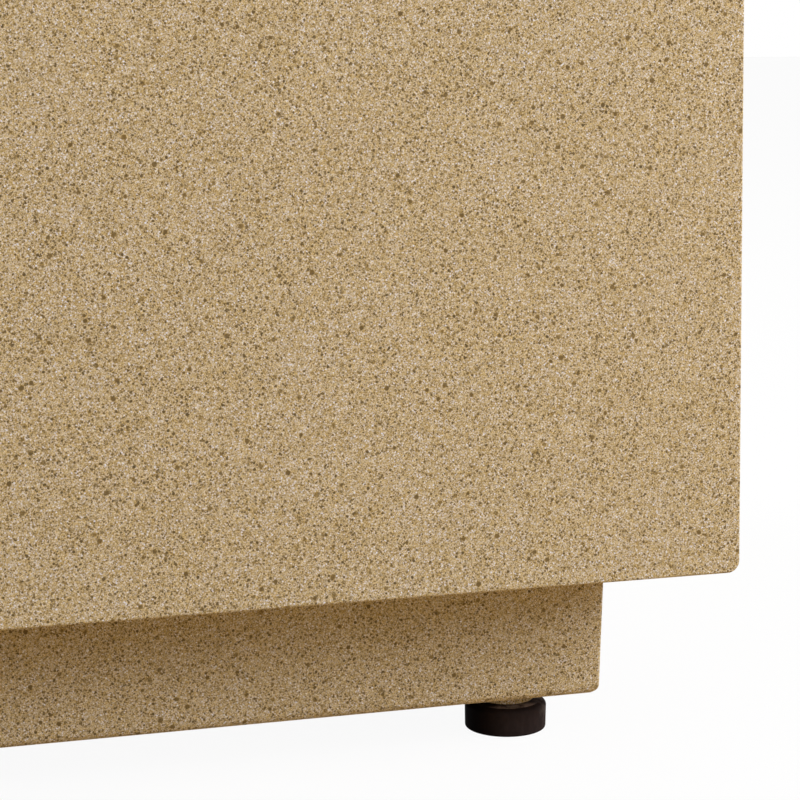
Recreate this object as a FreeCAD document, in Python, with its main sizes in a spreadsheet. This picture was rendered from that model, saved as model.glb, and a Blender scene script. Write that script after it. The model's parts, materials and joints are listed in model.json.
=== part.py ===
"""Coffee table cast in speckled stone: a hollow block on a recessed plinth with four levelling feet.

Millimetres and degrees. The origin is on the floor under the table's centre, with +X along its length,
+Y towards its back and +Z up. The feet are screwed right up, so their washers touch the plinth's bosses.
"""
import FreeCAD, Part
import os

import Sketcher

Vector = FreeCAD.Vector

# Driving sizes, each with its alias, value and meaning
SIZES = (
    ("table_length", 1200, "length of the shell at its lower edge"),
    ("table_depth", 700, "depth of the shell at its lower edge"),
    ("table_height", 400, "floor to table top"),
    ("shell_draft", 0.7, "mould draft of the shell's sides, wider at the bottom"),
    ("shell_edge_radius", 5.5, "easing of the shell's outer edges"),
    ("shell_wall", 14, "thickness of the shell's sides"),
    ("shell_top", 15, "thickness of the table top"),
    ("shell_cove", 12, "rounding inside the shell's corners"),
    ("rim_lip", 8.5, "width of the rim that hides the panel's edge"),
    ("rib_spacing", 400, "distance between the two ribs under the top"),
    ("rib_width", 16, "thickness of a rib where it meets the top"),
    ("rib_drop", 40, "depth of a rib below the top"),
    ("rib_draft", 2, "mould draft of the ribs"),
    ("block_width", 44, "width of the cast block round a panel insert"),
    ("block_reach", 16, "how far a block runs past its insert's axis"),
    ("block_height", 45, "height of a block above the ledge"),
    ("block_draft", 3, "mould draft of the blocks"),
    ("panel_thickness", 12, "thickness of the underside panel"),
    ("panel_clearance", 0.5, "gap between the panel's edge and the rim"),
    ("panel_recess", 1.5, "how far the panel lies above the rim"),
    ("panel_corner_radius", 6, "rounding of the rebate's corners"),
    ("seal_thickness", 2, "thickness of the strip that the panel beds on"),
    ("seal_width", 5, "width of that strip"),
    ("plinth_inset", 47.5, "shell's face to the plinth's face"),
    ("plinth_height", 68, "plinth's underside to the shell's lower edge"),
    ("plinth_draft", 1.1, "mould draft of the plinth, narrower at the bottom"),
    ("plinth_edge_radius", 4, "easing of the plinth's outer edges"),
    ("plinth_wall", 16, "thickness of the plinth's sides"),
    ("post_size", 72, "side of the plinth's solid corner posts"),
    ("post_round", 6, "rounding inside the plinth's corners"),
    ("boss_diameter", 27.5, "round boss that a foot screws up to"),
    ("boss_height", 8.5, "height of that boss"),
    ("boss_edge_radius", 0.8, "easing of the boss's lower edge"),
    ("foot_inset", 36.75, "plinth's face to a foot's axis"),
    ("pad_diameter", 40, "moulded pad of a foot, across its rim"),
    ("pad_taper", 0.2, "how much narrower the pad is at its sole, on the radius"),
    ("pad_rim_height", 12.8, "floor to the pad's rim before it is eased"),
    ("pad_rim_radius", 2, "easing of that rim"),
    ("pad_height", 14.2, "floor to the upper end of the pad's shallow cone"),
    ("pad_sole_radius", 1, "easing of the pad's lower edge"),
    ("foot_washer_diameter", 24, "washer between a pad and its boss"),
    ("foot_washer_thickness", 1, "thickness of that washer"),
    ("foot_washer_recess", 0.7, "how deep that washer lies in the pad's top"),
    ("stud_diameter", 10, "outside of the stud's thread"),
    ("stud_length", 45, "stud above its head"),
    ("stud_end_chamfer", 1, "chamfer at the stud's upper end"),
    ("stud_end_room", 3, "free depth above the stud when it is screwed right up"),
    ("head_flats", 17, "stud's hex head across its flats"),
    ("head_height", 6.4, "height of that head"),
    ("head_recess", 2, "floor to the underside of that head"),
    ("foot_insert_diameter", 14, "sleeve that a stud turns in"),
    ("foot_insert_length", 30, "length of that sleeve with its flange"),
    ("foot_flange_diameter", 20, "flange at the sleeve's lower end"),
    ("foot_flange_thickness", 2, "thickness of that flange"),
    ("screw_inset", 27, "shell's face to a panel screw's axis"),
    ("screw_end", 180, "shell's corner to the nearest panel screw, along the edge"),
    ("screw_diameter", 6, "outside of a panel screw's thread"),
    ("screw_length", 30, "panel screw below its head"),
    ("screw_head_diameter", 10.5, "button head of a panel screw"),
    ("screw_head_height", 3.3, "height of that head"),
    ("screw_socket_flats", 4, "hex socket across its flats"),
    ("screw_socket_depth", 2, "depth of that socket"),
    ("screw_washer_diameter", 12.5, "washer of a panel screw"),
    ("screw_washer_thickness", 1.2, "thickness of that washer"),
    ("panel_insert_diameter", 10, "sleeve that a panel screw turns in"),
    ("panel_insert_length", 27, "length of that sleeve"),
    ("bolt_inset", 56, "plinth's face to a plinth bolt's axis"),
    ("bolt_diameter", 8, "outside of a plinth bolt's thread"),
    ("bolt_length", 40, "plinth bolt below its head"),
    ("bolt_head_flats", 13, "hex head across its flats"),
    ("bolt_head_height", 5.3, "height of that head"),
    ("bolt_washer_diameter", 16, "washer of a plinth bolt"),
    ("bolt_washer_thickness", 1.6, "thickness of that washer"),
    ("plinth_insert_diameter", 12, "sleeve that a plinth bolt turns in"),
    ("plinth_insert_length", 30, "length of that sleeve"),
    ("thread_clearance", 0.05, "stud, screw or bolt to its sleeve, on the radius"),
    ("cast_clearance", 0.05, "sleeve or washer to its seat, on the radius"),
    ("loose_clearance", 0.3, "passing hole round a stud, screw or bolt, on the radius"),
    ("head_clearance", 0.15, "stud's head to its pocket in the pad, on the flats"),
    ("counterbore_clearance", 0.75, "screw's washer to its counterbore, on the radius"),
)

doc = FreeCAD.newDocument("coffee_table")
sheet = doc.addObject("Spreadsheet::Sheet", "sizes")
for row, (alias, value, meaning) in enumerate(SIZES, start=1):
    sheet.set(f"A{row}", meaning)
    sheet.set(f"B{row}", str(value))
    sheet.setAlias(f"B{row}", alias)
doc.recompute()

# Heights above the floor, as expressions on the sheet
WASHER_BOTTOM = "(sizes.pad_height - sizes.foot_washer_recess)"
BOSS_BOTTOM = f"({WASHER_BOTTOM} + sizes.foot_washer_thickness)"
PLINTH_BOTTOM = f"({BOSS_BOTTOM} + sizes.boss_height)"
SHELL_BOTTOM = f"({PLINTH_BOTTOM} + sizes.plinth_height)"
PANEL_BOTTOM = f"({SHELL_BOTTOM} + sizes.panel_recess)"
PANEL_TOP = f"({PANEL_BOTTOM} + sizes.panel_thickness)"
LEDGE = f"({PANEL_TOP} + sizes.seal_thickness)"
HOLLOW_TOP = "(sizes.table_height - sizes.shell_top)"
HEAD_TOP = "(sizes.head_recess + sizes.head_height)"
WELL_TOP = f"({HEAD_TOP} + sizes.stud_length + sizes.stud_end_room)"

# Half sizes in plan, from the table's centre
HALF_LENGTH = "sizes.table_length / 2"
HALF_DEPTH = "sizes.table_depth / 2"
FOOT_X = f"({HALF_LENGTH} - sizes.plinth_inset - sizes.foot_inset)"
FOOT_Y = f"({HALF_DEPTH} - sizes.plinth_inset - sizes.foot_inset)"
BOLT_X = f"({HALF_LENGTH} - sizes.plinth_inset - sizes.bolt_inset)"
BOLT_Y = f"({HALF_DEPTH} - sizes.plinth_inset - sizes.bolt_inset)"

# The feet by their corners, as signs of X and Y
CORNERS = {"front_left": (-1, -1), "front_right": (1, -1), "back_left": (-1, 1), "back_right": (1, 1)}
FOOT_PLACES = [(f"{x} * {FOOT_X}", f"{y} * {FOOT_Y}") for x, y in CORNERS.values()]
BOLT_PLACES = [(f"{x} * {BOLT_X}", f"{y} * {BOLT_Y}") for x, y in CORNERS.values()]

# Panel screws: three along each long edge and two along each short edge
SIDES = (-1, 1)
LONG_EDGE_SCREWS = [
    (f"{x} * ({HALF_LENGTH} - sizes.screw_end)", f"{y} * ({HALF_DEPTH} - sizes.screw_inset)")
    for y in SIDES for x in (-1, 0, 1)
]
SHORT_EDGE_SCREWS = [
    (f"{x} * ({HALF_LENGTH} - sizes.screw_inset)", f"{y} * ({HALF_DEPTH} - sizes.screw_end)")
    for x in SIDES for y in SIDES
]
SCREW_PLACES = LONG_EDGE_SCREWS + SHORT_EDGE_SCREWS

SLACK = 0.01  # tolerance when an edge is found by its place


def measure(expression):
    """The number that an expression on the sheet comes to."""
    return float(sheet.evalExpression(expression))


def new_body(label):
    """An empty body with its label."""
    body = doc.addObject("PartDesign::Body", label)
    body.Label = label
    return body


def new_sketch(body, name, height="0", role="XY_Plane"):
    """A sketch on one of the body's origin planes, raised by an expression."""
    sketch = body.newObject("Sketcher::SketchObject", name)
    plane = next(feature for feature in body.Origin.OriginFeatures if feature.Role == role)
    sketch.AttachmentSupport = [(plane, "")]
    sketch.MapMode = "FlatFace"
    sketch.setExpression("AttachmentOffset.Base.z", height)
    return sketch


def bind(sketch, constraint, expression):
    """Adds a constraint whose value follows an expression."""
    index = sketch.addConstraint(constraint)
    sketch.setExpression(f"Constraints[{index}]", expression)


def outline(sketch, points):
    """Draws a closed outline of straight lines through points given as pairs of expressions."""
    places = [Vector(measure(x), measure(y), 0) for x, y in points]
    first = sketch.GeometryCount
    count = len(points)
    for index, place in enumerate(places):
        sketch.addGeometry(Part.LineSegment(place, places[(index + 1) % count]), False)
    for index, (x, y) in enumerate(points):
        line = first + index
        following = first + (index + 1) % count
        sketch.addConstraint(Sketcher.Constraint("Coincident", line, 2, following, 1))
        bind(sketch, Sketcher.Constraint("DistanceX", -1, 1, line, 1, places[index].x), x)
        bind(sketch, Sketcher.Constraint("DistanceY", -1, 1, line, 1, places[index].y), y)


def rectangle(sketch, width, depth, centre=("0", "0")):
    """Draws a rectangle about a centre."""
    left, right = (f"{centre[0]} {sign} ({width}) / 2" for sign in "-+")
    front, back = (f"{centre[1]} {sign} ({depth}) / 2" for sign in "-+")
    outline(sketch, [(left, front), (right, front), (right, back), (left, back)])


def circles(sketch, diameter, centres=(("0", "0"),)):
    """Draws a circle about each centre."""
    for x, y in centres:
        place = Vector(measure(x), measure(y), 0)
        circle = sketch.addGeometry(Part.Circle(place, Vector(0, 0, 1), measure(diameter) / 2), False)
        bind(sketch, Sketcher.Constraint("Diameter", circle, measure(diameter)), diameter)
        bind(sketch, Sketcher.Constraint("DistanceX", -1, 1, circle, 3, place.x), x)
        bind(sketch, Sketcher.Constraint("DistanceY", -1, 1, circle, 3, place.y), y)


def extrude(kind, sketch, length, upward, taper):
    """Adds a pad or pocket of the sketch, upward or downward, with an optional taper."""
    body = sketch.getParentGeoFeatureGroup()
    feature = body.newObject(f"PartDesign::{kind}", f"{sketch.Name}_{kind.lower()}")
    feature.Profile = sketch
    feature.setExpression("Length", length)
    feature.setExpression("TaperAngle", taper)
    feature.Reversed = (kind == "Pad") != upward
    doc.recompute()
    return feature


def pad(sketch, length, upward=True, taper="0"):
    """Adds material from the sketch."""
    return extrude("Pad", sketch, length, upward, taper)


def pocket(sketch, length, upward=True, taper="0"):
    """Takes material away from the sketch, and makes sure that it did."""
    before = sketch.getParentGeoFeatureGroup().Tip.Shape.Volume
    feature = extrude("Pocket", sketch, length, upward, taper)
    if not feature.Shape.Volume < before:
        raise RuntimeError(f"{feature.Name} cuts nothing")
    return feature


def dress(kind, base, prefix, size_name, size, chosen):
    """Adds a fillet or chamfer to the edges of a feature that the test chooses."""
    body = base.getParentGeoFeatureGroup()
    edges = [f"Edge{number}" for number, edge in enumerate(base.Shape.Edges, start=1) if chosen(edge)]
    feature = body.newObject(f"PartDesign::{kind}", f"{prefix}_{kind.lower()}")
    feature.Base = (base, edges)
    feature.setExpression(size_name, size)
    doc.recompute()
    return feature


def round_off(base, prefix, radius, chosen):
    """Rounds the chosen edges of a feature."""
    return dress("Fillet", base, prefix, "Radius", radius, chosen)


def at_height(height):
    """A test for edges that lie flat at a height."""
    level = measure(height)
    return lambda edge: abs(edge.BoundBox.ZMin - level) < SLACK and abs(edge.BoundBox.ZMax - level) < SLACK


def upright_within(half_length, half_depth, lowest, highest):
    """A test for upright edges between two heights, inside a rectangle about the centre."""
    x, y = measure(half_length) + SLACK, measure(half_depth) + SLACK
    low, high = measure(lowest) - SLACK, measure(highest) + SLACK

    def chosen(edge):
        box = edge.BoundBox
        inside = max(abs(box.XMin), abs(box.XMax)) < x and max(abs(box.YMin), abs(box.YMax)) < y
        upright = box.ZLength > max(box.XLength, box.YLength)
        return inside and upright and low < box.ZMin and box.ZMax < high

    return chosen


def turned(label, points):
    """A body turned about Z from an outline of radii and heights."""
    body = new_body(label)
    sketch = new_sketch(body, f"{label}_profile", role="XZ_Plane")
    outline(sketch, points)
    doc.recompute()
    feature = body.newObject("PartDesign::Revolution", f"{label}_turn")
    feature.Profile = sketch
    feature.ReferenceAxis = (sketch, ["V_Axis"])
    feature.Angle = 360
    doc.recompute()
    return body


def prism(body, kind, name, flats, bottom, height):
    """Adds or cuts a hexagonal prism about Z, given across its flats."""
    feature = body.newObject(f"PartDesign::{kind}Prism", name)
    feature.Polygon = 6
    feature.setExpression("Circumradius", f"({flats}) / sqrt(3)")
    feature.setExpression("Height", height)
    feature.setExpression("Placement.Base.z", bottom)
    doc.recompute()
    return feature


def sleeve(label, diameter, bore, bottom, length):
    """A plain tube about Z."""
    inner, outer = f"({bore}) / 2", f"({diameter}) / 2"
    top = f"{bottom} + {length}"
    return turned(label, [(inner, bottom), (outer, bottom), (outer, top), (inner, top)])


def group(label, master, places):
    """One node that holds a copy of the master at each place."""
    copies = []
    for number, (x, y) in enumerate(places, start=1):
        copy = doc.addObject("App::Link", f"{label}_{number}")
        copy.LinkedObject = master
        copy.setExpression("Placement.Base.x", x)
        copy.setExpression("Placement.Base.y", y)
        copies.append(copy)
    compound = doc.addObject("Part::Compound", label)
    compound.Label = label
    compound.Links = copies
    doc.recompute()
    return compound


def place_at(body, place):
    """Moves a body made about the origin to its place on the table."""
    body.setExpression("Placement.Base.x", place[0])
    body.setExpression("Placement.Base.y", place[1])
    return body


def table_shell():
    """The hollow casting: top, four drafted sides, two ribs, and the blocks that hold the panel's inserts."""
    body = new_body("table_shell")
    footprint = new_sketch(body, "shell_footprint", SHELL_BOTTOM)
    rectangle(footprint, "sizes.table_length", "sizes.table_depth")
    block = pad(footprint, f"sizes.table_height - {SHELL_BOTTOM}", taper="-sizes.shell_draft")
    round_off(block, "shell_outer", "sizes.shell_edge_radius", lambda edge: True)

    half_inside = [f"({half} - sizes.shell_wall)" for half in (HALF_LENGTH, HALF_DEPTH)]
    hollow_sketch = new_sketch(body, "shell_hollow", SHELL_BOTTOM)
    rectangle(hollow_sketch, *(f"2 * {half}" for half in half_inside))
    hollow = pocket(hollow_sketch, f"{HOLLOW_TOP} - {SHELL_BOTTOM}", taper="-sizes.shell_draft")
    ceiling = at_height(HOLLOW_TOP)
    corner = upright_within(*half_inside, SHELL_BOTTOM, HOLLOW_TOP)
    round_off(hollow, "shell_inner", "sizes.shell_cove", lambda edge: ceiling(edge) or corner(edge))

    half_rebate = [f"({half} - sizes.rim_lip)" for half in (HALF_LENGTH, HALF_DEPTH)]
    rebate_sketch = new_sketch(body, "shell_rebate", SHELL_BOTTOM)
    rectangle(rebate_sketch, *(f"2 * {half}" for half in half_rebate))
    rebate = pocket(rebate_sketch, f"{LEDGE} - {SHELL_BOTTOM}")
    rebate_corner = upright_within(*half_rebate, SHELL_BOTTOM, LEDGE)
    round_off(rebate, "shell_rebate_corner", "sizes.panel_corner_radius", rebate_corner)

    ribs = new_sketch(body, "shell_ribs", HOLLOW_TOP)
    for side in SIDES:
        centre = (f"{side} * sizes.rib_spacing / 2", "0")
        rectangle(ribs, "sizes.rib_width", "sizes.table_depth - sizes.shell_wall", centre)
    pad(ribs, "sizes.rib_drop", upward=False, taper="-sizes.rib_draft")

    block_depth = "(sizes.screw_inset + sizes.block_reach - sizes.shell_wall / 2)"
    block_middle = "(sizes.screw_inset + sizes.block_reach + sizes.shell_wall / 2) / 2"
    blocks = new_sketch(body, "shell_blocks", LEDGE)
    for side in SIDES:
        block_x = f"{side} * ({HALF_LENGTH} - {block_middle})"
        block_y = f"{side} * ({HALF_DEPTH} - {block_middle})"
        for x, _ in LONG_EDGE_SCREWS[:3]:
            rectangle(blocks, "sizes.block_width", block_depth, (x, block_y))
        for _, y in SHORT_EDGE_SCREWS[:2]:
            rectangle(blocks, block_depth, "sizes.block_width", (block_x, y))
    pad(blocks, "sizes.block_height", taper="-sizes.block_draft")

    seats = new_sketch(body, "shell_insert_seats", LEDGE)
    circles(seats, "sizes.panel_insert_diameter + 2 * sizes.cast_clearance", SCREW_PLACES)
    pocket(seats, "sizes.panel_insert_length - sizes.seal_thickness")
    return body


def underside_panel():
    """The board inside the shell's rim, counterbored for its screws and drilled for the plinth's bolts."""
    body = new_body("underside_panel")
    halves = [f"({half} - sizes.rim_lip - sizes.panel_clearance)" for half in (HALF_LENGTH, HALF_DEPTH)]
    board_sketch = new_sketch(body, "panel_board", PANEL_BOTTOM)
    rectangle(board_sketch, *(f"2 * {half}" for half in halves))
    board = pad(board_sketch, "sizes.panel_thickness")
    corner = upright_within(*halves, PANEL_BOTTOM, PANEL_TOP)
    round_off(board, "panel_corner", "sizes.panel_corner_radius - sizes.panel_clearance", corner)

    screw_holes = new_sketch(body, "panel_screw_holes", PANEL_BOTTOM)
    circles(screw_holes, "sizes.screw_diameter + 2 * sizes.loose_clearance", SCREW_PLACES)
    pocket(screw_holes, "sizes.panel_thickness")
    counterbores = new_sketch(body, "panel_counterbores", PANEL_BOTTOM)
    circles(counterbores, "sizes.screw_washer_diameter + 2 * sizes.counterbore_clearance", SCREW_PLACES)
    pocket(counterbores, "sizes.screw_head_height + sizes.screw_washer_thickness")
    bolt_holes = new_sketch(body, "panel_bolt_holes", PANEL_BOTTOM)
    circles(bolt_holes, "sizes.bolt_diameter + 2 * sizes.loose_clearance", BOLT_PLACES)
    pocket(bolt_holes, "sizes.panel_thickness")
    return body


def panel_seal():
    """The strip on the shell's ledge that the panel beds on."""
    body = new_body("panel_seal")
    halves = [f"({half} - sizes.rim_lip - sizes.panel_clearance)" for half in (HALF_LENGTH, HALF_DEPTH)]
    strip_sketch = new_sketch(body, "seal_strip", PANEL_TOP)
    rectangle(strip_sketch, *(f"2 * {half}" for half in halves))
    rectangle(strip_sketch, *(f"2 * ({half} - sizes.seal_width)" for half in halves))
    strip = pad(strip_sketch, "sizes.seal_thickness")
    corner = upright_within(*halves, PANEL_TOP, LEDGE)
    inner_edge = upright_within(*(f"{half} - sizes.seal_width" for half in halves), PANEL_TOP, LEDGE)
    outer_corner = "sizes.panel_corner_radius - sizes.panel_clearance"
    round_off(strip, "seal_corner", outer_corner, lambda edge: corner(edge) and not inner_edge(edge))
    return body


def plinth():
    """The recessed base: drafted sides, a solid post and a round boss at each corner, open in the middle."""
    body = new_body("plinth")
    halves = [f"({half} - sizes.plinth_inset)" for half in (HALF_LENGTH, HALF_DEPTH)]
    height = f"({PANEL_BOTTOM} - {PLINTH_BOTTOM})"
    footprint = new_sketch(body, "plinth_footprint", PANEL_BOTTOM)
    rectangle(footprint, *(f"2 * {half}" for half in halves))
    block = pad(footprint, height, upward=False, taper="-sizes.plinth_draft")
    joint_face = at_height(PANEL_BOTTOM)
    round_off(block, "plinth_outer", "sizes.plinth_edge_radius", lambda edge: not joint_face(edge))

    wall_x, wall_y = (f"({half} - sizes.plinth_wall)" for half in halves)
    post_x, post_y = (f"({half} - sizes.post_size)" for half in halves)
    corner_points = [(wall_x, post_y), (post_x, post_y), (post_x, wall_y)]
    well_points = []
    for x, y, order in ((1, 1, 1), (-1, 1, -1), (-1, -1, 1), (1, -1, -1)):
        well_points += [(f"{x} * {along}", f"{y} * {across}") for along, across in corner_points[::order]]
    well_sketch = new_sketch(body, "plinth_well", PANEL_BOTTOM)
    outline(well_sketch, well_points)
    well = pocket(well_sketch, height, upward=False, taper="-sizes.plinth_draft")
    inner_edges = upright_within(wall_x, wall_y, PLINTH_BOTTOM, PANEL_BOTTOM)
    round_off(well, "plinth_inner", "sizes.post_round", inner_edges)

    boss_sketch = new_sketch(body, "plinth_bosses", PLINTH_BOTTOM)
    circles(boss_sketch, "sizes.boss_diameter", FOOT_PLACES)
    bosses = pad(boss_sketch, "sizes.boss_height", upward=False)
    round_off(bosses, "plinth_boss_edge", "sizes.boss_edge_radius", at_height(BOSS_BOTTOM))

    flange_seats = new_sketch(body, "plinth_flange_seats", BOSS_BOTTOM)
    circles(flange_seats, "sizes.foot_flange_diameter + 2 * sizes.cast_clearance", FOOT_PLACES)
    pocket(flange_seats, "sizes.foot_flange_thickness")
    insert_seats = new_sketch(body, "plinth_foot_insert_seats", BOSS_BOTTOM)
    circles(insert_seats, "sizes.foot_insert_diameter + 2 * sizes.cast_clearance", FOOT_PLACES)
    pocket(insert_seats, "sizes.foot_insert_length")
    stud_wells = new_sketch(body, "plinth_stud_wells", BOSS_BOTTOM)
    circles(stud_wells, "sizes.stud_diameter + 2 * sizes.loose_clearance", FOOT_PLACES)
    pocket(stud_wells, f"{WELL_TOP} - {BOSS_BOTTOM}")
    bolt_seats = new_sketch(body, "plinth_bolt_insert_seats", PANEL_BOTTOM)
    circles(bolt_seats, "sizes.plinth_insert_diameter + 2 * sizes.cast_clearance", BOLT_PLACES)
    pocket(bolt_seats, "sizes.plinth_insert_length", upward=False)
    return body


def panel_fixings():
    """The panel's sleeves, screws and washers, ten of each."""
    insert = sleeve(
        "panel_insert_master", "sizes.panel_insert_diameter",
        "sizes.screw_diameter + 2 * sizes.thread_clearance", PANEL_TOP, "sizes.panel_insert_length",
    )
    shank = "sizes.screw_diameter / 2"
    head = "sizes.screw_head_diameter / 2"
    head_top = f"({PANEL_BOTTOM} + sizes.screw_head_height)"
    tip = f"{head_top} + sizes.screw_length"
    screw = turned("panel_screw_master", [
        ("0", PANEL_BOTTOM), (f"({head} + {shank}) / 2", PANEL_BOTTOM), (head, head_top),
        (shank, head_top), (shank, tip), ("0", tip),
    ])
    prism(
        screw, "Subtractive", "screw_socket", "sizes.screw_socket_flats", PANEL_BOTTOM,
        "sizes.screw_socket_depth",
    )
    washer = sleeve(
        "panel_washer_master", "sizes.screw_washer_diameter",
        "sizes.screw_diameter + 2 * sizes.loose_clearance", head_top, "sizes.screw_washer_thickness",
    )
    masters = {"panel_inserts": insert, "panel_screws": screw, "panel_washers": washer}
    return [group(label, master, SCREW_PLACES) for label, master in masters.items()]


def plinth_fixings():
    """The plinth's sleeves, bolts and washers, one of each at every corner post."""
    insert_bottom = f"({PANEL_BOTTOM} - sizes.plinth_insert_length)"
    insert = sleeve(
        "plinth_insert_master", "sizes.plinth_insert_diameter",
        "sizes.bolt_diameter + 2 * sizes.thread_clearance", insert_bottom, "sizes.plinth_insert_length",
    )
    head_bottom = f"({PANEL_TOP} + sizes.bolt_washer_thickness)"
    bolt = new_body("plinth_bolt_master")
    shank = new_sketch(bolt, "bolt_shank", head_bottom)
    circles(shank, "sizes.bolt_diameter")
    pad(shank, "sizes.bolt_length", upward=False)
    prism(bolt, "Additive", "bolt_head", "sizes.bolt_head_flats", head_bottom, "sizes.bolt_head_height")
    washer = sleeve(
        "plinth_washer_master", "sizes.bolt_washer_diameter",
        "sizes.bolt_diameter + 2 * sizes.loose_clearance", PANEL_TOP, "sizes.bolt_washer_thickness",
    )
    masters = {"plinth_inserts": insert, "plinth_bolts": bolt, "plinth_washers": washer}
    return [group(label, master, BOLT_PLACES) for label, master in masters.items()]


def foot_insert(corner):
    """The flanged sleeve in a corner post, which the stud turns in."""
    bore = "sizes.stud_diameter / 2 + sizes.thread_clearance"
    flange = "sizes.foot_flange_diameter / 2"
    outer = "sizes.foot_insert_diameter / 2"
    shoulder = f"{BOSS_BOTTOM} + sizes.foot_flange_thickness"
    top = f"{BOSS_BOTTOM} + sizes.foot_insert_length"
    return turned(f"foot_insert_{corner}", [
        (bore, BOSS_BOTTOM), (flange, BOSS_BOTTOM), (flange, shoulder),
        (outer, shoulder), (outer, top), (bore, top),
    ])


def foot_washer(corner):
    """The ring between a pad and its boss."""
    bore = "sizes.stud_diameter + 2 * sizes.loose_clearance"
    return sleeve(
        f"foot_washer_{corner}", "sizes.foot_washer_diameter", bore, WASHER_BOTTOM,
        "sizes.foot_washer_thickness",
    )


def foot_stud(corner):
    """The hex-headed stud, with its head in the pad and its shank in the sleeve."""
    body = new_body(f"foot_stud_{corner}")
    shank_sketch = new_sketch(body, f"stud_shank_{corner}", HEAD_TOP)
    circles(shank_sketch, "sizes.stud_diameter")
    shank = pad(shank_sketch, "sizes.stud_length")
    upper_end = at_height(f"{HEAD_TOP} + sizes.stud_length")
    dress("Chamfer", shank, f"stud_end_{corner}", "Size", "sizes.stud_end_chamfer", upper_end)
    prism(
        body, "Additive", f"stud_head_{corner}", "sizes.head_flats", "sizes.head_recess", "sizes.head_height",
    )
    return body


def foot_pad(corner):
    """The moulded disc that is gripped to turn the foot, recessed for the washer and for the stud's head."""
    rim = "sizes.pad_diameter / 2"
    recess = "(sizes.foot_washer_diameter / 2 + sizes.loose_clearance)"
    body = turned(f"foot_pad_{corner}", [
        ("0", "0"), (f"{rim} - sizes.pad_taper", "0"), (rim, "sizes.pad_rim_height"),
        (recess, "sizes.pad_height"), (recess, WASHER_BOTTOM), ("0", WASHER_BOTTOM),
    ])
    eased = round_off(body.Tip, f"pad_rim_{corner}", "sizes.pad_rim_radius", at_height("sizes.pad_rim_height"))
    round_off(eased, f"pad_sole_{corner}", "sizes.pad_sole_radius", at_height("0"))
    bore = new_sketch(body, f"pad_bore_{corner}")
    circles(bore, "sizes.stud_diameter + 2 * sizes.loose_clearance")
    pocket(bore, "sizes.pad_height")
    prism(
        body, "Subtractive", f"pad_head_pocket_{corner}", "sizes.head_flats + 2 * sizes.head_clearance", "0",
        HEAD_TOP,
    )
    return body


subparts = [table_shell(), underside_panel(), panel_seal(), plinth()]
subparts += panel_fixings() + plinth_fixings()
for corner_name, foot_place in zip(CORNERS, FOOT_PLACES):
    for make in (foot_insert, foot_washer, foot_stud, foot_pad):
        subparts.append(place_at(make(corner_name), foot_place))
doc.recompute()

# Nothing is written unless every object and every sub-part is sound
failed = [item.Label for item in doc.Objects if {"Invalid", "Error"} & set(item.State)]
failed += [item.Label for item in subparts if item.Shape.isNull() or not item.Shape.isValid()]
if failed:
    raise RuntimeError("failed: " + ", ".join(failed))
os.makedirs("parts", exist_ok=True)
for item in subparts:
    item.Shape.exportStep(f"parts/{item.Label}.step")
    print(f"{item.Label}: {len(item.Shape.Solids)} solids, {item.Shape.Volume:.0f} mm3")
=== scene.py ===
"""Looks of the coffee table: speckled cast stone on a recessed plinth, with dark levelling feet.

Metres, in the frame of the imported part: +Z is up, the front is towards -Y, and the floor is at zero.
"""
import json
import math

import bmesh
import bpy
from mathutils import Matrix, Vector


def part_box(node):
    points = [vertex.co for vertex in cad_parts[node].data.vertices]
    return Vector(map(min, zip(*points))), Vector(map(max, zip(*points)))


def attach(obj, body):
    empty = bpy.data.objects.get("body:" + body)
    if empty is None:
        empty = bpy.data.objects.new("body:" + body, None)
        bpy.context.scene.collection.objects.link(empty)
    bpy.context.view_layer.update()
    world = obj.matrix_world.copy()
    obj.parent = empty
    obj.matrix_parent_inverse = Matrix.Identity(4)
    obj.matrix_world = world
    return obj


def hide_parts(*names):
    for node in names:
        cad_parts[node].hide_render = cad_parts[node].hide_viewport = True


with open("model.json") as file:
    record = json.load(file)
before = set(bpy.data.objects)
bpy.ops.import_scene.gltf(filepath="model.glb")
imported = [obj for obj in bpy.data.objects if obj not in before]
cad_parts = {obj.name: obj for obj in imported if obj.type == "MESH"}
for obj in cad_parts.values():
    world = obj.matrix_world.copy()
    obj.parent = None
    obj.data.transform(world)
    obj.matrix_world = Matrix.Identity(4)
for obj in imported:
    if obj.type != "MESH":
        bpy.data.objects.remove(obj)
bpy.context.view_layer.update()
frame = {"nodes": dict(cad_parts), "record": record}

# Sizes of the shell
SHELL_LENGTH = 1.2
SHELL_DEPTH = 0.7
SHELL_DRAFT = math.radians(0.7)
SHELL_EDGE = 0.0058
CRISP_EDGE = 0.0012
SHELL_WALL = 0.014
SHELL_TOP = 0.015
RIM_LIP = 0.0085
REBATE_CORNER = 0.006
LEDGE_HEIGHT = 0.0155
RIB_PLACE = 0.2
RIB_WIDTH = 0.016
RIB_DROP = 0.04
RIB_LEAN = 0.0014
RIB_ROOT = 0.002
BLOCK_WIDTH = 0.044
BLOCK_REACH = 0.016
BLOCK_HEIGHT = 0.045
BLOCK_LEAN = 0.0024

# Sizes of the plinth
PLINTH_LENGTH = 1.105
PLINTH_DEPTH = 0.605
PLINTH_BOTTOM = 0.023
PLINTH_DRAFT = math.radians(1.1)
PLINTH_EDGE = 0.0042
PLINTH_CORNER = 0.002
PLINTH_WALL = 0.016
POST_SIZE = 0.072
POST_ROUND = 0.006
BOSS_RADIUS = 0.01375
BOSS_EDGE = 0.0008

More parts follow.
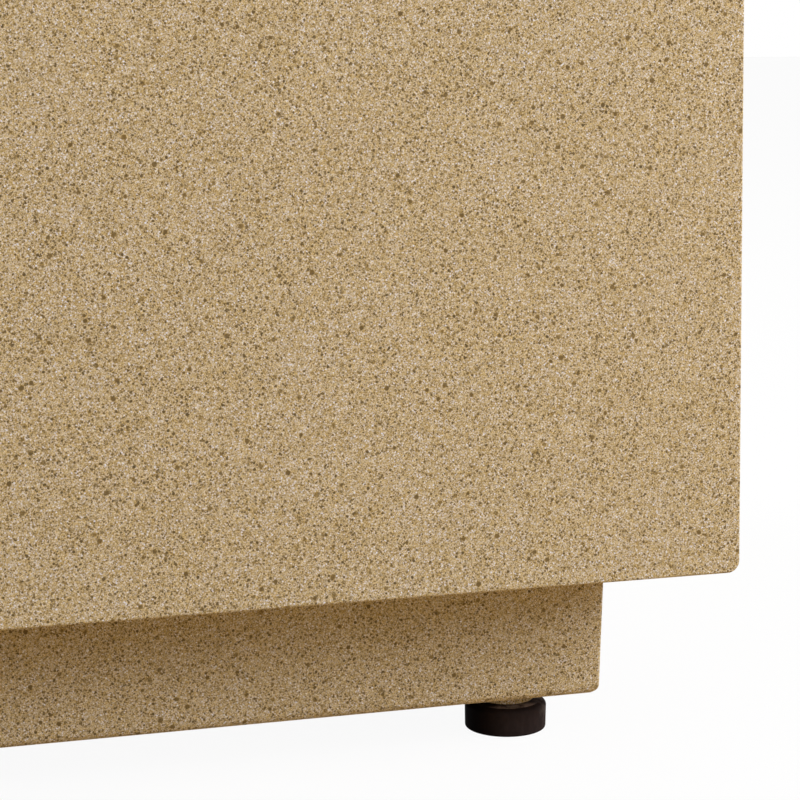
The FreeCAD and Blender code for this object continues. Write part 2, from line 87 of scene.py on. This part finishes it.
# Sizes of the feet and screws
FLANGE_RADIUS = 0.01005
FLANGE_THICKNESS = 0.002
SLEEVE_RADIUS = 0.00705
SLEEVE_LENGTH = 0.03
WELL_RADIUS = 0.0053
WELL_TOP = 0.0564
STUD_RADIUS = 0.005
HEAD_FLATS = 0.017
HEAD_HEIGHT = 0.0064
HEAD_EDGE = 0.0004
THREAD_PITCH = 0.0015
THREAD_DEPTH = 0.00092
THREAD_STEPS = 28
SCREW_RADIUS = 0.003
SCREW_HEAD_RADIUS = 0.00525
SCREW_HEAD_HEIGHT = 0.0033
SCREW_DOME = 0.0058
SCREW_FLAT = 0.0027
SCREW_CHAMFER = 0.0006
SCREW_LENGTH = 0.03
SOCKET_FLATS = 0.004
SOCKET_DEPTH = 0.002
SCREW_INSET = 0.027
SCREW_END = 0.18

# Sizes of the stone's grains
FINE_GRAIN = 0.00034
SAND_GRAIN = 0.00066
DARK_GRIT = 0.00095
PALE_GRIT = 0.0009
FLECK_SIZE = 0.0018
CHIP_SIZE = 0.0048
STIR_SIZE = 0.0011

CORNERS = ("front_left", "front_right", "back_left", "back_right")
SIDES = (-1, 1)
LONG_EDGE_SCREWS = [
    (x * (SHELL_LENGTH / 2 - SCREW_END), y * (SHELL_DEPTH / 2 - SCREW_INSET))
    for x in (-1, 0, 1) for y in SIDES
]
SHORT_EDGE_SCREWS = [
    (x * (SHELL_LENGTH / 2 - SCREW_INSET), y * (SHELL_DEPTH / 2 - SCREW_END))
    for x in SIDES for y in SIDES
]
TINY = 1e-5
SMOOTH_ANGLE = math.radians(32)
CORNER_ANGLE = 0.5
WHITE = (1, 1, 1, 1)


# Shader maths

class Value:
    """A node's output on which Python's operators add Math nodes."""

    def __init__(self, graph, socket):
        self.graph = graph
        self.socket = socket

    def maths(self, operation, *others):
        return self.graph.node("ShaderNodeMath", {"operation": operation}, dict(enumerate((self, *others))))

    def __add__(self, other):
        return self.maths("ADD", other)

    def __radd__(self, other):
        return self.maths("ADD", other)

    def __sub__(self, other):
        return self.maths("SUBTRACT", other)

    def __rsub__(self, other):
        return (self * -1).maths("ADD", other)

    def __mul__(self, other):
        return self.maths("MULTIPLY", other)

    def __rmul__(self, other):
        return self.maths("MULTIPLY", other)

    def __lt__(self, other):
        return self.maths("LESS_THAN", other)

    def ramp(self, start, end):
        """Zero at start and one at end, eased between them."""
        settings = {"interpolation_type": "SMOOTHSTEP"}
        inputs = {"Value": self, "From Min": start, "From Max": end}
        return self.graph.node("ShaderNodeMapRange", settings, inputs)


class Graph:
    """The nodes of a material or of the world."""

    def __init__(self, owner):
        self.owner = owner
        owner.use_nodes = True
        self.nodes = owner.node_tree.nodes
        self.links = owner.node_tree.links

    def node(self, kind, settings=None, inputs=None, output=0):
        """Adds a node with its settings and its inputs, and gives one of its outputs."""
        node = self.nodes.new(kind)
        for name, value in (settings or {}).items():
            if name == "stops":
                self.set_stops(node.color_ramp.elements, value)
            else:
                setattr(node, name, value)
        for key, value in (inputs or {}).items():
            self.feed(node.inputs[key], value)
        return Value(self, node.outputs[output])

    def set_stops(self, elements, stops):
        """Gives a colour ramp its stops, from pairs of a place and a colour."""
        for place, _ in stops[1:-1]:
            elements.new(place)
        for element, (place, colour) in zip(elements, stops):
            element.position = place
            element.color = (*colour, 1)

    def feed(self, socket, value):
        """Links a value to a socket, or sets the socket to a number, vector or colour."""
        if isinstance(value, Value):
            self.links.new(value.socket, socket)
        else:
            socket.default_value = value

    def shade(self, **values):
        """Feeds the material's own shader."""
        for name, value in values.items():
            self.feed(self.nodes["Principled BSDF"].inputs[name.replace("_", " ")], value)

    def place(self):
        """Where a point lies on the piece."""
        return self.node("ShaderNodeTexCoord", output="Object")

    def noise(self, place, size, detail=2.0, roughness=0.5):
        """Cloudy noise of a size, from zero to one."""
        inputs = {"Vector": place, "Scale": 1 / size, "Detail": detail, "Roughness": roughness}
        return self.node("ShaderNodeTexNoise", None, inputs, "Fac")

    def mix(self, amount, first, second):
        """A colour between two colours."""
        return self.node("ShaderNodeMix", {"data_type": "RGBA"}, {0: amount, 6: first, 7: second}, 2)

    def scaled(self, vector, factor):
        """A vector or colour times a number."""
        return self.node("ShaderNodeVectorMath", {"operation": "SCALE"}, {0: vector, "Scale": factor})

    def tinted(self, colour, tint):
        """A colour times another."""
        return self.node("ShaderNodeVectorMath", {"operation": "MULTIPLY"}, {0: colour, 1: tint})

    def moved(self, vector, offset):
        """A vector plus another."""
        return self.node("ShaderNodeVectorMath", {"operation": "ADD"}, {0: vector, 1: offset})

    def parts(self, vector):
        """The three numbers of a vector or colour."""
        split = self.node("ShaderNodeSeparateXYZ", None, {0: vector})
        return [Value(self, socket) for socket in split.socket.node.outputs]

    def bump(self, height, distance, strength):
        """A normal roughened by a height from zero to one."""
        inputs = {"Height": height, "Distance": distance, "Strength": strength}
        return self.node("ShaderNodeBump", None, inputs)

    def seen(self):
        """One where the camera, a reflection or a view through glass looks straight at the surface."""
        path = self.node("ShaderNodeLightPath").socket.node.outputs
        names = ("Is Camera Ray", "Is Glossy Ray", "Is Transmission Ray")
        camera, glossy, through = (Value(self, path[name]) for name in names)
        return (camera + glossy + through).maths("MINIMUM", 1.0)


def new_finish(name):
    """The graph of a new material."""
    return Graph(bpy.data.materials.new(name))


def grains(stone, place, size):
    """Packed grains: distance to a grain's middle in grain sizes, and three random numbers per grain."""
    distance = stone.node("ShaderNodeTexVoronoi", None, {"Vector": place, "Scale": 1 / size}, "Distance")
    colour = Value(stone, distance.socket.node.outputs["Color"])
    return distance, stone.parts(colour)


def chips(stone, place, size, share, smallest, largest):
    """Loose chips: a mask of round spots on a share of the grains, and how deep each is coloured."""
    softness = 0.06
    distance, (pick, spread, depth) = grains(stone, place, size)
    radius = spread * (largest - smallest) + smallest
    spot = (radius - distance).ramp(-softness, softness)
    return spot * (pick < share), depth


def cast_stone():
    """Matt cast stone: sand from ochre to cream, with dark and pale grit and a few larger dark chips.

    The grains lie askew to the faces, because along a face their rows would show as bands.
    """
    stone = new_finish("cast_stone")
    askew = {"Vector": stone.place(), "Rotation": (0.6, 0.4, 0.9)}
    place = stone.node("ShaderNodeMapping", None, askew)
    swirl = {"Vector": place, "Scale": 1 / STIR_SIZE, "Detail": 1.0}
    stir = stone.moved(stone.node("ShaderNodeTexNoise", None, swirl, "Color"), (-0.5, -0.5, -0.5))
    stirred = stone.moved(place, stone.scaled(stir, 0.0008))
    loose = stone.moved(place, stone.scaled(stir, 0.0004))

    patch = stone.noise(place, 0.012, 3.0) - 0.5
    cloud = stone.noise(place, 0.05, 3.0) - 0.5
    thick = patch * 0.7 + cloud * 0.5
    _, (fine, hue, _) = grains(stone, place, FINE_GRAIN)
    _, (sand, ochre, _) = grains(stone, stirred, SAND_GRAIN)
    elsewhere = stone.moved(loose, (0.4, 0.2, 0.3))
    dark, dark_depth = chips(stone, loose, DARK_GRIT, thick + 0.38, 0.3, 0.52)
    pale, pale_depth = chips(stone, elsewhere, PALE_GRIT, 0.4 - thick, 0.3, 0.5)
    fleck, fleck_depth = chips(stone, loose, FLECK_SIZE, thick + 0.5, 0.22, 0.41)
    chip, chip_depth = chips(stone, stirred, CHIP_SIZE, 0.38, 0.15, 0.25)
    lightness = (fine - 0.5) * 0.7 + (sand - 0.5) * 0.16 + patch * 0.1 + 0.563
    for spot, depth, tone in ((pale, pale_depth, 1.0), (dark, dark_depth, 0.1), (fleck, fleck_depth, 0.1)):
        lightness = lightness + spot * (depth * 0.6 + 0.4) * (tone - lightness)
    lightness = lightness + chip * (chip_depth * 0.4 + 0.6) * (0.13 - lightness)
    colours = [
        (0.0, (0.05, 0.031, 0.0105)), (0.2, (0.205, 0.134, 0.055)), (0.4, (0.414, 0.296, 0.136)),
        (0.5, (0.495, 0.367, 0.189)), (0.6, (0.55, 0.423, 0.252)), (0.75, (0.64, 0.52, 0.38)),
        (0.9, (0.755, 0.655, 0.55)), (1.0, (0.86, 0.795, 0.73)),
    ]
    colour = stone.node("ShaderNodeValToRGB", {"stops": colours}, {"Fac": lightness})
    grey = hue * 0.45 + ochre * 0.45 + pale * 0.3 + fleck * 0.22 + dark * 0.22
    yellow_tint = (1.05, 0.975, 0.59, 1)
    grey_tint = (0.91, 1.035, 1.42, 1)
    colour = stone.tinted(colour, stone.mix(grey, yellow_tint, grey_tint))

    shade = stone.noise(place, 0.3, 2.0) - 0.5
    colour = stone.scaled(colour, cloud * 0.08 + shade * 0.08 + 1)
    roughness = 0.72 - chip * 0.12 + cloud * 0.1
    height = sand * 0.35 + fine * 0.2 - dark * 0.3 + 0.4
    stone.shade(
        Base_Color=colour, Roughness=roughness, Specular_IOR_Level=0.12,
        Normal=stone.bump(height, 0.00012, 0.35),
    )
    return stone.owner


def pad_rubber():
    """Brown-black rubber with painted light: painted shade makes it blackest towards the table's middle,
    scuffed wear with a painted sheen lightens the outer rim, and a light dusting with a painted sheen lies
    on the top.
    """
    # painted shade colour for the side towards the table's middle
    black = (0.001, 0.0004, 0.0003, 1)
    brown = (0.0265, 0.0187, 0.0186, 1)
    # colour of scuffed wear and of a painted sheen
    worn_and_sheen = (0.1, 0.083, 0.075, 1)
    # colour of a light dusting and of a painted sheen
    dusty_sheen = (0.28, 0.232, 0.215, 1)
    rubber = new_finish("pad_rubber")
    place = rubber.place()
    across, along, height = rubber.parts(place)
    axis = middle_of("foot_pad_back_right")
    across = across.maths("ABSOLUTE") - axis.x
    along = along.maths("ABSOLUTE") - axis.y
    radius = (across * across + along * along).maths("SQRT")
    streaks = rubber.node("ShaderNodeMapping", None, {"Vector": place, "Scale": (1.0, 1.0, 0.35)})
    wear = rubber.noise(streaks, 0.003, 4.0, 0.6)
    # painted shade: black on the side towards the table's middle, turning brown towards the outer side
    colour = rubber.mix(across.ramp(-0.0215, -0.006), black, brown)
    # darker towards the bottom of the pad
    colour = rubber.scaled(colour, (wear + 0.5) * (height.ramp(-0.004, 0.009) * 0.3 + 0.75))
    # scuffed wear with a painted sheen: lighter scuffs on the outer side towards the table's end, stronger
    # towards the top
    scuff_and_sheen = rubber.noise(place, 0.004, 4.0, 0.65).ramp(0.4, 0.62) * across.ramp(0.008, 0.019)
    colour = rubber.mix(scuff_and_sheen * (height.ramp(0.004, 0.011) * 0.6 + 0.2), colour, worn_and_sheen)
    # a light dusting and a painted sheen on the top, on the side towards the nearer long edge of the table,
    # inside the rim
    dust_and_sheen = height.ramp(0.0124, 0.0128) * radius.ramp(0.0169, 0.0163) * along.ramp(0.009, 0.015)
    colour = rubber.mix(dust_and_sheen * wear.ramp(0.2, 0.6), colour, dusty_sheen)
    grain = rubber.noise(place, 0.0009)
    rubber.shade(
        Base_Color=colour, Roughness=0.65 + wear * 0.2, Specular_IOR_Level=0.015,
        Normal=rubber.bump(grain, 0.00008, 0.3),
    )
    return rubber.owner


def dark_moulding(name, dark, light):
    """Matt black nylon or sealing strip, with a fine moulded grain."""
    plastic = new_finish(name)
    place = plastic.place()
    grain = plastic.noise(place, 0.0007)
    cloud = plastic.noise(place, 0.006, 3.0)
    plastic.shade(
        Base_Color=plastic.mix(cloud, dark, light), Roughness=0.5 + cloud * 0.2, Specular_IOR_Level=0.3,
        Normal=plastic.bump(grain, 0.00006, 0.3),
    )
    return plastic.owner


def plated_steel(name, dark, light):
    """Zinc-plated steel with cloudy plating and a fine spangle."""
    steel = new_finish(name)
    place = steel.place()
    cloud = steel.noise(place, 0.004, 4.0, 0.6)
    grain = steel.noise(place, 0.0004)
    steel.shade(
        Base_Color=steel.mix(cloud, dark, light), Metallic=1.0, Roughness=0.26 + cloud * 0.2 + grain * 0.08,
        Normal=steel.bump(grain, 0.00002, 0.4),
    )
    return steel.owner


# Mesh helpers

def finished(name, mesh, material, body, node):
    """Makes a piece of the mesh that rides on a body and stands for a CAD node."""
    bmesh.ops.remove_doubles(mesh, verts=mesh.verts, dist=1e-6)
    bmesh.ops.recalc_face_normals(mesh, faces=mesh.faces)
    data = bpy.data.meshes.new(name)
    mesh.to_mesh(data)
    mesh.free()
    data.materials.append(material)
    data.shade_smooth()
    data.set_sharp_from_angle(angle=SMOOTH_ANGLE)
    piece = bpy.data.objects.new(name, data)
    bpy.context.scene.collection.objects.link(piece)
    piece.modifiers.new("even_faces", "WEIGHTED_NORMAL").keep_sharp = True
    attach(piece, body)
    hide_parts(node)


def middle_of(node):
    """The middle of a CAD node's box."""
    low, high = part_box(node)
    return (low + high) / 2


def block(mesh, centre, bottom, top, *, size, lean_bottom=0.0, lean_top=0.0):
    """A box about an upright axis whose sides lean in at its bottom or its top."""
    length, depth = size
    middle = Vector((*centre, (bottom + top) / 2))
    shape = Matrix.LocRotScale(middle, None, (length, depth, top - bottom))
    corners = bmesh.ops.create_cube(mesh, size=1, matrix=shape)["verts"]
    for height, lean in ((bottom, lean_bottom), (top, lean_top)):
        points = [point for point in corners if abs(point.co.z - height) < TINY]
        narrowed = (1 - 2 * lean / length, 1 - 2 * lean / depth, 1)
        bmesh.ops.scale(mesh, vec=narrowed, space=Matrix.Translation(-middle), verts=points)


def ease(mesh, edges, radius, segments):
    """Rounds edges."""
    bmesh.ops.bevel(
        mesh, geom=edges, offset=radius, offset_type="OFFSET", segments=segments, profile=0.5,
        affect="EDGES", material=-1,
    )


def level_faces(mesh, height):
    """The level faces of a mesh at a height."""
    mesh.normal_update()
    return [
        face for face in mesh.faces
        if abs(face.normal.z) > 0.99 and abs(face.calc_center_median().z - height) < TINY
    ]


def sink(mesh, face, depth):
    """Pushes a face upwards into a recess."""
    made = bmesh.ops.extrude_face_region(mesh, geom=[face])["geom"]
    points = [item for item in made if isinstance(item, bmesh.types.BMVert)]
    bmesh.ops.translate(mesh, vec=(0, 0, depth), verts=points)
    bmesh.ops.delete(mesh, geom=[face], context="FACES_ONLY")


def upright_edges(mesh, bottom, top):
    """The upright edges of corners that run from one height to another."""
    ends = [round(bottom / TINY), round(top / TINY)]
    return [
        edge for edge in mesh.edges
        if sorted(round(point.co.z / TINY) for point in edge.verts) == ends
        and (edge.verts[0].co - edge.verts[1].co).xy.length < top - bottom
        and edge.calc_face_angle(0) > CORNER_ANGLE
    ]


def sharp_edges(mesh):
    """The edges of a mesh that aren't rounded."""
    mesh.normal_update()
    return [edge for edge in mesh.edges if edge.calc_face_angle(0) > CORNER_ANGLE]


def cut(mesh, place, direction, **cleared):
    """Cuts a mesh with a plane."""
    geometry = mesh.verts[:] + mesh.edges[:] + mesh.faces[:]
    bmesh.ops.bisect_plane(mesh, geom=geometry, dist=1e-7, plane_co=place, plane_no=direction, **cleared)


def close(mesh):
    """Joins two open loops with a band of faces."""
    bmesh.ops.bridge_loops(mesh, edges=[edge for edge in mesh.edges if edge.is_boundary])


def turn(mesh, centre, profile, steps):
    """Turns a profile of radii and heights about an upright axis."""
    points = [mesh.verts.new((centre[0] + radius, centre[1], height)) for radius, height in profile]
    lines = [mesh.edges.new(pair) for pair in zip(points, points[1:])]
    bmesh.ops.spin(
        mesh, geom=points + lines, cent=(*centre, 0), axis=(0, 0, 1), angle=math.tau, steps=steps,
        use_merge=True,
    )
    bmesh.ops.remove_doubles(mesh, verts=mesh.verts, dist=1e-6)


def arc(middle, radius, start, end, steps):
    """Points of an arc in a profile, from one angle to another in degrees."""
    across, up = middle
    angles = [math.radians(start + (end - start) * step / steps) for step in range(steps + 1)]
    return [(across + radius * math.cos(angle), up + radius * math.sin(angle)) for angle in angles]


# Pieces

def table_shell(material):
    """The hollow block: eased edges, the rim and ledge that hold the panel, and ribs and blocks inside."""
    low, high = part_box("table_shell")
    mesh = bmesh.new()
    height = high.z - low.z
    lean = height * math.tan(SHELL_DRAFT)
    block(mesh, (0, 0), low.z, high.z, lean_top=lean, size=(SHELL_LENGTH, SHELL_DEPTH))
    ends = [edge for edge in mesh.edges if abs(edge.verts[0].co.y - edge.verts[1].co.y) > SHELL_DEPTH / 2]
    ease(mesh, ends, SHELL_EDGE, 10)
    ease(mesh, sharp_edges(mesh), CRISP_EDGE, 4)

    underside = max(level_faces(mesh, low.z), key=lambda face: face.calc_area())
    bmesh.ops.inset_region(mesh, faces=[underside], thickness=RIM_LIP - SHELL_EDGE)
    for point in underside.verts:
        point.co.y = math.copysign(SHELL_DEPTH / 2 - RIM_LIP, point.co.y)
    ledge_height = low.z + LEDGE_HEIGHT
    sink(mesh, underside, LEDGE_HEIGHT)
    ease(mesh, upright_edges(mesh, low.z, ledge_height), REBATE_CORNER, 6)
    ledge = max(level_faces(mesh, ledge_height), key=lambda face: face.calc_area())
    bmesh.ops.inset_region(mesh, faces=[ledge], thickness=SHELL_WALL - RIM_LIP)
    ceiling = high.z - SHELL_TOP
    sink(mesh, ledge, ceiling - ledge_height)

    for side in SIDES:
        centre = (side * RIB_PLACE, 0)
        rib_size = (RIB_WIDTH, SHELL_DEPTH - SHELL_WALL)
        block(mesh, centre, ceiling - RIB_DROP, ceiling + RIB_ROOT, lean_bottom=RIB_LEAN, size=rib_size)
    block_top = ledge_height + BLOCK_HEIGHT
    block_depth = SCREW_INSET + BLOCK_REACH - SHELL_WALL / 2
    inward = BLOCK_REACH - block_depth / 2
    for x, y in LONG_EDGE_SCREWS:
        centre = (x, y - math.copysign(inward, y))
        size = (BLOCK_WIDTH, block_depth)
        block(mesh, centre, ledge_height, block_top, lean_top=BLOCK_LEAN, size=size)
    for x, y in SHORT_EDGE_SCREWS:
        centre = (x - math.copysign(inward, x), y)
        size = (block_depth, BLOCK_WIDTH)
        block(mesh, centre, ledge_height, block_top, lean_top=BLOCK_LEAN, size=size)
    finished("cast_shell", mesh, material, "table", "table_shell")


def plinth(material):
    """The recessed base: open in the middle, with solid corner posts and a bored boss over every foot."""
    low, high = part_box("plinth")
    mesh = bmesh.new()
    lean = (high.z - PLINTH_BOTTOM) * math.tan(PLINTH_DRAFT)
    block(mesh, (0, 0), PLINTH_BOTTOM, high.z, lean_bottom=lean, size=(PLINTH_LENGTH, PLINTH_DEPTH))
    below_top = high.z - TINY
    lower = [edge for edge in mesh.edges if max(point.co.z for point in edge.verts) < below_top]
    ease(mesh, lower, PLINTH_EDGE, 8)
    corners = [edge for edge in sharp_edges(mesh) if min(point.co.z for point in edge.verts) < below_top]
    ease(mesh, corners, PLINTH_CORNER, 5)

    wall = Vector((PLINTH_LENGTH / 2 - PLINTH_WALL, PLINTH_DEPTH / 2 - PLINTH_WALL))
    post = Vector((PLINTH_LENGTH / 2 - POST_SIZE, PLINTH_DEPTH / 2 - POST_SIZE))
    for side in SIDES:
        for corner in (wall, post):
            cut(mesh, (side * corner.x, 0, 0), (1, 0, 0))
            cut(mesh, (0, side * corner.y, 0), (0, 1, 0))
    well = []
    for face in level_faces(mesh, PLINTH_BOTTOM) + level_faces(mesh, high.z):
        x, y, _ = (abs(part) for part in face.calc_center_median())
        if x < wall.x and y < wall.y and (x < post.x or y < post.y):
            well.append(face)
    bmesh.ops.delete(mesh, geom=well, context="FACES")
    close(mesh)
    ease(mesh, upright_edges(mesh, PLINTH_BOTTOM, high.z), POST_ROUND, 6)

    shoulder = low.z + FLANGE_THICKNESS
    sleeve_end = low.z + SLEEVE_LENGTH
    bore = [(BOSS_RADIUS, PLINTH_BOTTOM)]
    bore += arc((BOSS_RADIUS - BOSS_EDGE, low.z + BOSS_EDGE), BOSS_EDGE, 0, -90, 4)
    bore += [(FLANGE_RADIUS, low.z), (FLANGE_RADIUS, shoulder), (SLEEVE_RADIUS, shoulder)]
    bore += [(SLEEVE_RADIUS, sleeve_end), (WELL_RADIUS, sleeve_end), (WELL_RADIUS, WELL_TOP), (0, WELL_TOP)]
    for corner in CORNERS:
        centre = middle_of(f"foot_pad_{corner}").xy
        undersides = level_faces(mesh, PLINTH_BOTTOM)
        seat = min(undersides, key=lambda face: (face.calc_center_median().xy - centre).length)
        bmesh.ops.delete(mesh, geom=[seat], context="FACES_ONLY")
        turn(mesh, centre, bore, 64)
        close(mesh)
    finished("cast_plinth", mesh, material, "table", "plinth")


def threaded_studs(material):
    """The studs of the feet, with their rolled threads and hex heads."""
    low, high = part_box("foot_stud_front_right")
    stud = bmesh.new()
    root = STUD_RADIUS - THREAD_DEPTH
    head_top = low.z + HEAD_HEIGHT
    start = head_top - THREAD_PITCH
    ridge = [(root, 0), (root, 0.25), (STUD_RADIUS, 0.5625), (STUD_RADIUS, 0.6875), (root, 1)]
    points = [stud.verts.new((radius, 0, start + part * THREAD_PITCH)) for radius, part in ridge]
    lines = [stud.edges.new(pair) for pair in zip(points, points[1:])]
    turns = math.ceil((high.z - start) / THREAD_PITCH)
    bmesh.ops.spin(
        stud, geom=points + lines, cent=(0, 0, 0), axis=(0, 0, 1), dvec=(0, 0, THREAD_PITCH / THREAD_STEPS),
        angle=math.tau * turns, steps=THREAD_STEPS * turns,
    )
    bmesh.ops.remove_doubles(stud, verts=stud.verts, dist=1e-6)
    cut(stud, (0, 0, head_top), (0, 0, 1), clear_inner=True)
    cut(stud, (0, 0, high.z), (0, 0, 1), clear_outer=True)
    bmesh.ops.holes_fill(stud, edges=[edge for edge in stud.edges if edge.is_boundary])

    head_radius = HEAD_FLATS / math.sqrt(3)
    head = bmesh.ops.create_cone(
        stud, cap_ends=True, segments=6, radius1=head_radius, radius2=head_radius, depth=HEAD_HEIGHT,
        matrix=Matrix.Translation((0, 0, low.z + HEAD_HEIGHT / 2)),
    )["verts"]
    bmesh.ops.rotate(stud, matrix=Matrix.Rotation(math.radians(30), 3, "Z"), verts=head)
    ease(stud, list({edge for point in head for edge in point.link_edges}), HEAD_EDGE, 2)
    for corner in CORNERS:
        node = f"foot_stud_{corner}"
        mesh = stud.copy()
        bmesh.ops.translate(mesh, vec=(*middle_of(node).xy, 0), verts=mesh.verts)
        finished(f"threaded_stud_{corner}", mesh, material, f"foot_{corner}", node)
    stud.free()


def button_screws(material):
    """The panel's button-head screws with their hex sockets."""
    low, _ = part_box("panel_screws")
    mesh = bmesh.new()
    seat = low.z + SCREW_HEAD_HEIGHT
    tip = seat + SCREW_LENGTH
    dome = arc((0, low.z + SCREW_DOME), SCREW_DOME, -61, -27, 6)
    widest = (SCREW_HEAD_RADIUS, seat - SCREW_CHAMFER)
    profile = [(SCREW_FLAT, low.z), *dome, widest, (SCREW_HEAD_RADIUS, seat), (SCREW_RADIUS, seat)]
    profile += [(SCREW_RADIUS, tip - SCREW_CHAMFER), (SCREW_RADIUS - SCREW_CHAMFER, tip), (0, tip)]
    turn(mesh, (0, 0), profile, 32)
    socket = bmesh.ops.create_circle(
        mesh, cap_ends=True, segments=6, radius=SOCKET_FLATS / math.sqrt(3),
        matrix=Matrix.Translation((0, 0, low.z)),
    )["verts"]
    sink(mesh, socket[0].link_faces[0], SOCKET_DEPTH)
    close(mesh)
    first_points = mesh.verts[:]
    first = first_points + mesh.edges[:] + mesh.faces[:]
    first_place, *places = LONG_EDGE_SCREWS + SHORT_EDGE_SCREWS
    for place in places:
        copy = bmesh.ops.duplicate(mesh, geom=first)["geom"]
        points = [item for item in copy if isinstance(item, bmesh.types.BMVert)]
        bmesh.ops.translate(mesh, vec=(*place, 0), verts=points)
    bmesh.ops.translate(mesh, vec=(*first_place, 0), verts=first_points)
    finished("button_screws", mesh, material, "table", "panel_screws")


# Stage, light and camera

def white_floor():
    """A wide pale floor that keeps the table's shadow; the white beyond and lowered feet show through."""
    mesh = bmesh.new()
    bmesh.ops.create_grid(mesh, x_segments=2, y_segments=2, size=12)
    data = bpy.data.meshes.new("floor")
    mesh.to_mesh(data)
    mesh.free()
    floor = bpy.data.objects.new("floor", data)
    bpy.context.scene.collection.objects.link(floor)
    paint = new_finish("floor_paint")
    warm = paint.node("ShaderNodeBsdfDiffuse", None, {"Color": (0.55, 0.38, 0.15, 1)})
    white = paint.node("ShaderNodeBsdfDiffuse", None, {"Color": (0.9, 0.9, 0.9, 1)})
    clear = paint.node("ShaderNodeBsdfTransparent", None, {"Color": WHITE})
    bright = paint.node("ShaderNodeMixShader", None, {0: 0.94, 1: white, 2: clear})
    surface = paint.node("ShaderNodeMixShader", None, {0: paint.seen(), 1: warm, 2: bright})
    paint.feed(paint.nodes["Material Output"].inputs["Surface"], surface)
    data.materials.append(paint.owner)


def studio_world(strength):
    """Even light from all round, white where it is looked at."""
    world = bpy.data.worlds.new("studio")
    bpy.context.scene.world = world
    sky = Graph(world)
    light = sky.node("ShaderNodeBackground", None, {"Color": WHITE, "Strength": strength})
    white = sky.node("ShaderNodeBackground", None, {"Color": WHITE, "Strength": 1.0})
    surface = sky.node("ShaderNodeMixShader", None, {0: sky.seen(), 1: light, 2: white})
    sky.feed(sky.nodes["World Output"].inputs["Surface"], surface)


def soft_box(name, place, width, power):
    """A large soft lamp aimed at the front right corner."""
    aim = Vector((0.35, -0.35, 0.2))
    lamp = bpy.data.lights.new(name, "AREA")
    lamp.size = width
    lamp.energy = power
    stand = bpy.data.objects.new(name, lamp)
    stand.location = place
    stand.rotation_euler = (aim - stand.location).to_track_quat("-Z", "Y").to_euler()
    bpy.context.scene.collection.objects.link(stand)


def photo_camera():
    """A long lens close to the front right corner, looking slightly down."""
    data = bpy.data.cameras.new("camera")
    data.lens = 104.7232
    data.sensor_width = 36.0
    camera = bpy.data.objects.new("camera", data)
    camera.location = (0.137418, -1.30292, 0.352316)
    camera.rotation_euler = (math.radians(90 - 9.7678), 0, math.radians(-17.3512))
    bpy.context.scene.collection.objects.link(camera)
    bpy.context.scene.camera = camera


bpy.context.scene.view_settings.view_transform = "Standard"
stone_finish = cast_stone()
stud_finish = plated_steel("stud_steel", (0.42, 0.42, 0.41, 1), (0.58, 0.58, 0.57, 1))
zinc_finish = plated_steel("zinc_steel", (0.5, 0.5, 0.48, 1), (0.64, 0.64, 0.62, 1))
finishes = {
    "cast_stone": stone_finish,
    "pad_rubber": pad_rubber(),
    "washer_nylon": dark_moulding("washer_nylon", (0.006, 0.005, 0.005, 1), (0.012, 0.011, 0.01, 1)),
    "seal_rubber": dark_moulding("seal_rubber", (0.02, 0.02, 0.02, 1), (0.035, 0.034, 0.033, 1)),
    "stud_steel": stud_finish,
    "zinc_steel": zinc_finish,
}
for subpart in frame["record"]["subparts"]:
    node_mesh = frame["nodes"][subpart["node"]].data
    node_mesh.materials.clear()
    node_mesh.materials.append(finishes[subpart["material_slot"]])
table_shell(stone_finish)
plinth(stone_finish)
threaded_studs(stud_finish)
button_screws(zinc_finish)
white_floor()
studio_world(0.5)
soft_box("side_lamp", (2.814, -1.499, 1.468), 1.4, 71)
soft_box("upper_lamp", (0.529, -1.363, 1.426), 1.0, 4.6)
soft_box("back_lamp", (-1.9, 2.5, 1.9), 1.6, 90)
photo_camera()
